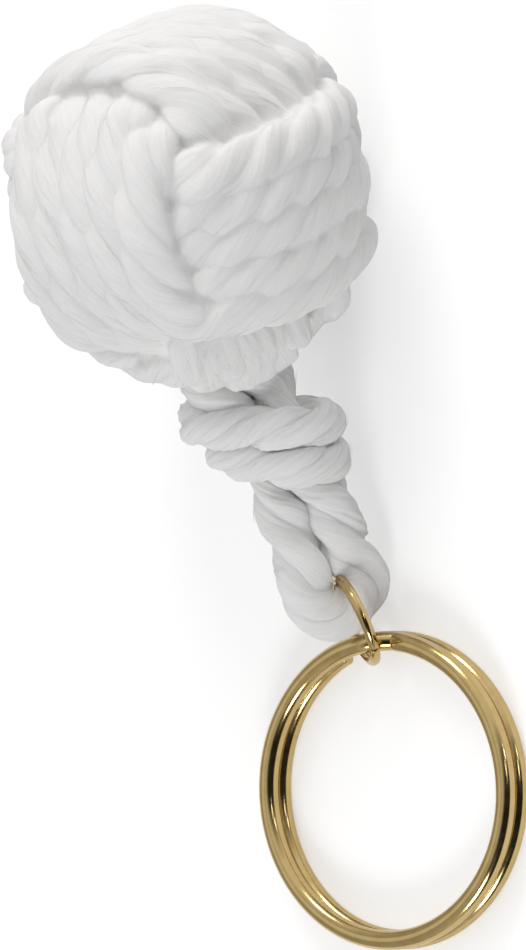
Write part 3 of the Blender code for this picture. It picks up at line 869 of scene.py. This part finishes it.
def wire_mesh(line, upright, width, height, squareness, sides, rounding):
    """A wire of superelliptic section along the line, with the edges of its two ends rounded."""
    tangent = np.gradient(line, axis=0)
    tangent /= np.linalg.norm(tangent, axis=1, keepdims=True)
    across = np.cross(tangent, upright)
    across /= np.linalg.norm(across, axis=1, keepdims=True)
    rise = np.cross(across, tangent)
    turn = 2 * math.pi * (np.arange(sides) + 0.5) / sides
    x = width / 2 * np.sign(np.cos(turn)) * np.abs(np.cos(turn)) ** (2 / squareness)
    y = height / 2 * np.sign(np.sin(turn)) * np.abs(np.sin(turn)) ** (2 / squareness)
    section = across[:, None, :] * x[None, :, None] + rise[:, None, :] * y[None, :, None]
    edge = np.radians(END_ANGLES)
    front = []
    back = []
    for angle in edge:
        inset = rounding * (1 - math.sin(angle))
        scale = 1 - 2 * rounding * (1 - math.cos(angle)) / width
        front.append(line[0] + inset * tangent[0] + scale * section[0])
        back.append(line[-1] - inset * tangent[-1] + scale * section[-1])
    rings = front + list(line[1:-1, None, :] + section[1:-1]) + back[::-1]
    return np.vstack(rings), tube_faces(0, len(rings), sides)


# Materials


def new_material(name):
    material = bpy.data.materials.new(name)
    material.use_nodes = True
    tree = material.node_tree
    return material, tree, tree.nodes["Principled BSDF"]


def noise(tree, place, scale, detail):
    """A noise texture, its coordinates scaled per axis."""
    stretch = tree.nodes.new("ShaderNodeMapping")
    stretch.inputs["Scale"].default_value = scale
    tree.links.new(place, stretch.inputs["Vector"])
    texture = tree.nodes.new("ShaderNodeTexNoise")
    texture.inputs["Scale"].default_value = 1.0
    texture.inputs["Detail"].default_value = detail
    tree.links.new(stretch.outputs["Vector"], texture.inputs["Vector"])
    return texture.outputs["Fac"]


def colours(tree, value, low, high, tones):
    """A colour between the two tones, as the value goes from low to high."""
    ramp = tree.nodes.new("ShaderNodeValToRGB")
    for element, position, tone in zip(ramp.color_ramp.elements, (low, high), tones):
        element.position = position
        element.color = (*tone, 1)
    tree.links.new(value, ramp.inputs["Fac"])
    return ramp.outputs["Color"]


def bumps(tree, shader, layers):
    """Bump from several heights, each with its strength and distance."""
    normal = None
    for height, strength, distance in layers:
        bump = tree.nodes.new("ShaderNodeBump")
        bump.inputs["Strength"].default_value = strength
        bump.inputs["Distance"].default_value = distance
        tree.links.new(height, bump.inputs["Height"])
        if normal is not None:
            tree.links.new(normal, bump.inputs["Normal"])
        normal = bump.outputs["Normal"]
    tree.links.new(normal, shader.inputs["Normal"])


def rope_material(name, fine_strength, broad_strength, softness):
    material, tree, shader = new_material(name)
    place = tree.nodes.new("ShaderNodeAttribute")
    place.attribute_name = "fibre"
    fine = noise(tree, place.outputs["Vector"], (5200.0, 5200.0, 420.0), 3.0)
    broad = noise(tree, place.outputs["Vector"], (1500.0, 1500.0, 170.0), 2.0)
    colour = colours(tree, fine, 0.3, 0.62, ROPE_COLOURS)
    tree.links.new(colour, shader.inputs["Base Color"])
    bumps(tree, shader, [(fine, fine_strength, 0.00013), (broad, broad_strength, 0.0003)])
    shader.inputs["Roughness"].default_value = 0.85
    shader.inputs["Specular IOR Level"].default_value = 0.25
    shader.inputs["Subsurface Weight"].default_value = 0.5
    shader.inputs["Subsurface Radius"].default_value = (1.0, 0.97, 0.94)
    shader.inputs["Subsurface Scale"].default_value = softness
    shader.inputs["Sheen Weight"].default_value = 0.2
    shader.inputs["Sheen Roughness"].default_value = 0.5
    return material


def fibre_material():
    material, tree, shader = new_material("loose_fibre")
    place = tree.nodes.new("ShaderNodeTexCoord")
    tint = noise(tree, place.outputs["Object"], (900.0, 900.0, 900.0), 2.0)
    colour = colours(tree, tint, 0.3, 0.7, FIBRE_COLOURS)
    tree.links.new(colour, shader.inputs["Base Color"])
    shader.inputs["Roughness"].default_value = 0.7
    shader.inputs["Specular IOR Level"].default_value = 0.3
    return material


def brass_material():
    material, tree, shader = new_material("polished_brass")
    place = tree.nodes.new("ShaderNodeTexCoord")
    wear = noise(tree, place.outputs["Object"], (700.0, 700.0, 700.0), 4.0)
    spread = tree.nodes.new("ShaderNodeMapRange")
    spread.inputs["From Min"].default_value = BRASS_WEAR[0]
    spread.inputs["From Max"].default_value = BRASS_WEAR[1]
    spread.inputs["To Min"].default_value = BRASS_ROUGHNESS[0]
    spread.inputs["To Max"].default_value = BRASS_ROUGHNESS[1]
    tree.links.new(wear, spread.inputs["Value"])
    tree.links.new(spread.outputs["Result"], shader.inputs["Roughness"])
    colour = colours(tree, wear, 0.3, 0.7, BRASS_COLOURS)
    tree.links.new(colour, shader.inputs["Base Color"])
    bumps(tree, shader, [(wear, 0.06, 0.00002)])
    shader.inputs["Metallic"].default_value = 1.0
    return material


def wood_material():
    material, tree, shader = new_material("pale_wood")
    place = tree.nodes.new("ShaderNodeTexCoord")
    rings = tree.nodes.new("ShaderNodeTexWave")
    rings.inputs["Scale"].default_value = 160.0
    rings.inputs["Distortion"].default_value = 3.0
    rings.inputs["Detail"].default_value = 3.0
    tree.links.new(place.outputs["Object"], rings.inputs["Vector"])
    colour = colours(tree, rings.outputs["Fac"], 0.0, 1.0, WOOD_COLOURS)
    tree.links.new(colour, shader.inputs["Base Color"])
    shader.inputs["Roughness"].default_value = 0.6
    return material


ball_look = rope_material("cotton_winding", 0.26, 0.4, 0.0014)
rope_look = rope_material("cotton_rope", 0.42, 0.55, 0.0012)
fibre_look = fibre_material()
brass_look = brass_material()
wood_look = wood_material()

# Ball
winding = settled(fist_route())
ball_turn = turned("z", BALL_YAW) @ turned("y", -BALL_PITCH) @ turned("x", BALL_ROLL)
depth = np.linalg.norm(winding, axis=1)
thickness = np.interp(depth, [INNER_REACH, OUTER_REACH], [BURIED_FULLNESS, 1.0]) * PASS_DIAMETER
winding = BALL_TIGHTNESS * winding @ ball_turn.T + BALL_CENTRE
line, sizes, along = smooth_line(winding, thickness, BALL_STEP)
lay = np.interp(along / along[-1], BALL_LAY_PLACES, np.repeat(BALL_LAYS, 2))
rings, fibre = rope_surface(
    line, sizes, along, lay, BALL_SIDES, BALL_PHASE, BALL_SEED, line - BALL_CENTRE, PASS_FLATNESS
)

tubes = [rings]
fibres = [fibre]
lines = [line]
for number, (pixels, width) in enumerate(zip(END_PATHS, END_WIDTHS)):
    end_rings, end_fibre, end_line = brushed_end(pixels, width, 31 + number)
    tubes.append(end_rings)
    fibres.append(end_fibre)
    lines.append(end_line)

points, faces, place = pressed_skin(tubes, fibres, BALL_CENTRE)
points[:, 2] = np.maximum(points[:, 2], 0.0)
ball_rope = rope_object("ball_rope", points, faces, place, ball_look)
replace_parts(ball_rope, "first_turns", "second_turns", "third_turns")
skin = BVHTree.FromPolygons(points.tolist(), faces)
fuzz_object("ball_fibres", rings, line, BALL_FIBRES, 21, fibre_look, skin)
for number in range(1, len(tubes)):
    name = f"rope_end_fibres_{number}"
    fuzz_object(name, tubes[number], lines[number], END_FIBRES, 40 + number, fibre_look, skin)

# Neck
neck_turn = turned("z", NECK_YAW) @ turned("y", -NECK_PITCH)
neck_start = BALL_CENTRE + neck_turn[:, 0] * BALL_SURFACE
chord = unit(BIGHT_APEX - neck_start)
sag = turned_about(unit(np.cross(UP, chord)), chord, NECK_SAG_TURN) * NECK_SAG
neck = Neck(neck_start, BIGHT_APEX, sag, NECK_INSIDE)
forward = neck.direction(neck.length)
level = unit(np.cross(UP, forward))
flat_normal = unit(LINK_NORMAL - forward * (LINK_NORMAL @ forward))
end_roll = math.degrees(math.atan2(np.cross(level, flat_normal) @ forward, level @ flat_normal))

eye_points, eye_sizes = eye_line(neck, end_roll)
line, sizes, along = smooth_line(eye_points, eye_sizes, NECK_STEP)
from_bight = np.abs(along - along[-1] / 2)
squash = BIGHT_FLATNESS + (1 - BIGHT_FLATNESS) * ease((from_bight - FLAT_REACH) / FLAT_FADE)
across = np.cross(forward, flat_normal)
rings, fibre = rope_surface(
    line, sizes, along, EYE_LAY, NECK_SIDES, EYE_PHASE, EYE_SEED, across, (squash, 1.0)
)
faces = tube_faces(0, *rings.shape[:2])
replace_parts(rope_object("eye_rope", rings, faces, fibre, rope_look), "eye_loop")
free = int(LEG_SHARE * len(line))
fuzz_object("eye_fibres", rings[:free], line[:free], LEG_FIBRES, 22, fibre_look)
fuzz_object("eye_fibres_2", rings[-free:], line[-free:], LEG_FIBRES, 24, fibre_look)

collar_points, collar_sizes = collar_line(neck, end_roll)
line, sizes, along = smooth_line(collar_points, collar_sizes, NECK_STEP)
rings, fibre = rope_surface(line, sizes, along, COLLAR_LAY, NECK_SIDES, COLLAR_PHASE, COLLAR_SEED)
faces = tube_faces(0, *rings.shape[:2])
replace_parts(rope_object("collar_rope", rings, faces, fibre, rope_look), "collar_turns")
fuzz_object("collar_fibres", rings, line, COLLAR_FIBRES, 23, fibre_look)

core = frame["nodes"]["core_ball"]
core.data.materials.clear()
core.data.materials.append(wood_look)

vertices, faces = wire_mesh(
    split_ring_line(), UP, RING_WIRE_WIDTH, RING_WIRE_HEIGHT, ROUND, RING_SIDES, RING_ROUNDING
)
vertices[:, 2] = np.maximum(vertices[:, 2], 0.0)
ring_wire = mesh_object("split_ring_wire", vertices, faces, brass_look, "split_ring")
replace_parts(ring_wire, "split_ring")
vertices, faces = wire_mesh(
    jump_ring_line(), LINK_NORMAL, JUMP_WIRE_DIAMETER, JUMP_WIRE_DIAMETER, ROUND, JUMP_SIDES, JUMP_ROUNDING
)
link_wire = mesh_object("jump_ring_wire", vertices, faces, brass_look, "jump_ring")
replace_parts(link_wire, "jump_ring")

# Floor: pale, and white to the camera and in the rings, but for the object's shadow
FLOOR_GLOW = 0.48
FLOOR_HALF = 1.5
FLOOR_DROP = 0.00005
floor_mesh = bpy.data.meshes.new("floor")
corners = [(x * FLOOR_HALF, y * FLOOR_HALF, 0) for x, y in ((-1, -1), (1, -1), (1, 1), (-1, 1))]
floor_mesh.from_pydata(corners, [], [(0, 1, 2, 3)])
floor = bpy.data.objects.new("floor", floor_mesh)
floor.location = (0, 0, -FLOOR_DROP)
bpy.context.scene.collection.objects.link(floor)
floor_look, tree, shader = new_material("pale_floor")
shader.inputs["Base Color"].default_value = (*FLOOR_COLOUR, 1)
shader.inputs["Roughness"].default_value = 0.9
shader.inputs["Emission Color"].default_value = (1, 1, 1, 1)
path = tree.nodes.new("ShaderNodeLightPath")
seen = path.outputs["Is Camera Ray"]
for ray in ("Is Glossy Ray", "Is Transmission Ray"):
    either = tree.nodes.new("ShaderNodeMath")
    either.operation = "MAXIMUM"
    tree.links.new(seen, either.inputs[0])
    tree.links.new(path.outputs[ray], either.inputs[1])
    seen = either.outputs["Value"]
glow = tree.nodes.new("ShaderNodeMath")
glow.operation = "MULTIPLY"
glow.inputs[1].default_value = FLOOR_GLOW
tree.links.new(seen, glow.inputs[0])
tree.links.new(glow.outputs["Value"], shader.inputs["Emission Strength"])
floor_mesh.materials.append(floor_look)

# Light: a bright room, dark at the viewer's right hand and dimmer behind the object, and five lamps
WORLD_STRENGTH = 0.94
DARK_WAY = (-0.54, -0.69, 0.47)
DARK_EDGE = 0.42
DARK_FULL = 0.85
DARK_LEVEL = 0.02
DIM_WAY = (0.0, 0.95, 0.15)
DIM_EDGE = -0.1
DIM_FULL = 0.7
DIM_LEVEL = 0.50
world = bpy.data.worlds.new("studio")
bpy.context.scene.world = world
world.use_nodes = True
tree = world.node_tree
background = tree.nodes["Background"]
background.inputs["Color"].default_value = (1, 1, 1, 1)
way = tree.nodes.new("ShaderNodeTexCoord").outputs["Generated"]


def patch(centre, edge, full, outside, inside):
    """A level that fades from outside to inside round a direction, as the cosine goes from edge to full."""
    towards = tree.nodes.new("ShaderNodeVectorMath")
    towards.operation = "DOT_PRODUCT"
    towards.inputs[1].default_value = Vector(centre).normalized()
    tree.links.new(way, towards.inputs[0])
    level = tree.nodes.new("ShaderNodeMapRange")
    level.interpolation_type = "SMOOTHSTEP"
    level.inputs["From Min"].default_value = edge
    level.inputs["From Max"].default_value = full
    level.inputs["To Min"].default_value = outside
    level.inputs["To Max"].default_value = inside
    tree.links.new(towards.outputs["Value"], level.inputs["Value"])
    return level.outputs["Result"]


both = tree.nodes.new("ShaderNodeMath")
both.operation = "MULTIPLY"
tree.links.new(patch(DARK_WAY, DARK_EDGE, DARK_FULL, WORLD_STRENGTH, DARK_LEVEL), both.inputs[0])
tree.links.new(patch(DIM_WAY, DIM_EDGE, DIM_FULL, 1.0, DIM_LEVEL), both.inputs[1])
tree.links.new(both.outputs["Value"], background.inputs["Strength"])


def soft_lamp(name, azimuth, elevation, distance, size, power, colour):
    """A round lamp that looks at the middle of the key ring."""
    lamp = bpy.data.lights.new(name, "AREA")
    lamp.shape = "DISK"
    lamp.size = size
    lamp.energy = power
    lamp.color = colour
    a, e = math.radians(azimuth), math.radians(elevation)
    way = Vector((math.cos(e) * math.cos(a), math.cos(e) * math.sin(a), math.sin(e)))
    item = bpy.data.objects.new(name, lamp)
    item.location = way * distance
    item.rotation_euler = way.to_track_quat("Z", "Y").to_euler()
    bpy.context.scene.collection.objects.link(item)


soft_lamp("key", -10, 32, 0.70, 0.26, 1.36, (1.0, 0.955, 0.94))
soft_lamp("fill", 188, 32, 0.70, 0.22, 1.70, (0.99, 0.995, 1.0))
soft_lamp("front", 268, 31, 0.75, 0.09, 0.14, (1.0, 1.0, 1.0))
soft_lamp("back", 78, 52, 0.75, 0.45, 0.20, (1.0, 1.0, 1.0))
soft_lamp("strip", -83, 18, 0.70, 0.06, 0.12, (1.0, 1.0, 1.0))

# Camera
centre_shift = (np.array([IMAGE_WIDTH, IMAGE_HEIGHT]) / 2 - RING_PIXEL) / PIXELS_PER_METRE
aim = RING_CENTRE + UP * RING_MIDDLE_HEIGHT
aim = aim + centre_shift[0] * VIEW_RIGHT - centre_shift[1] * VIEW_UP
camera_data = bpy.data.cameras.new("camera")
camera = bpy.data.objects.new("camera", camera_data)
bpy.context.scene.collection.objects.link(camera)
camera_data.sensor_fit = "VERTICAL"
camera_data.sensor_height = 24.0
camera_data.lens = 24.0 * VIEW_DISTANCE * PIXELS_PER_METRE / IMAGE_HEIGHT
camera_data.clip_end = 10.0
basis = np.stack([unit(VIEW_RIGHT), unit(VIEW_UP), unit(VIEW_TOWARDS)], axis=1)
matrix = Matrix([list(row) for row in basis]).to_4x4()
matrix.translation = Vector(aim + unit(VIEW_TOWARDS) * VIEW_DISTANCE)
camera.matrix_world = matrix
bpy.context.scene.camera = camera
bpy.context.scene.view_settings.view_transform = "Standard"
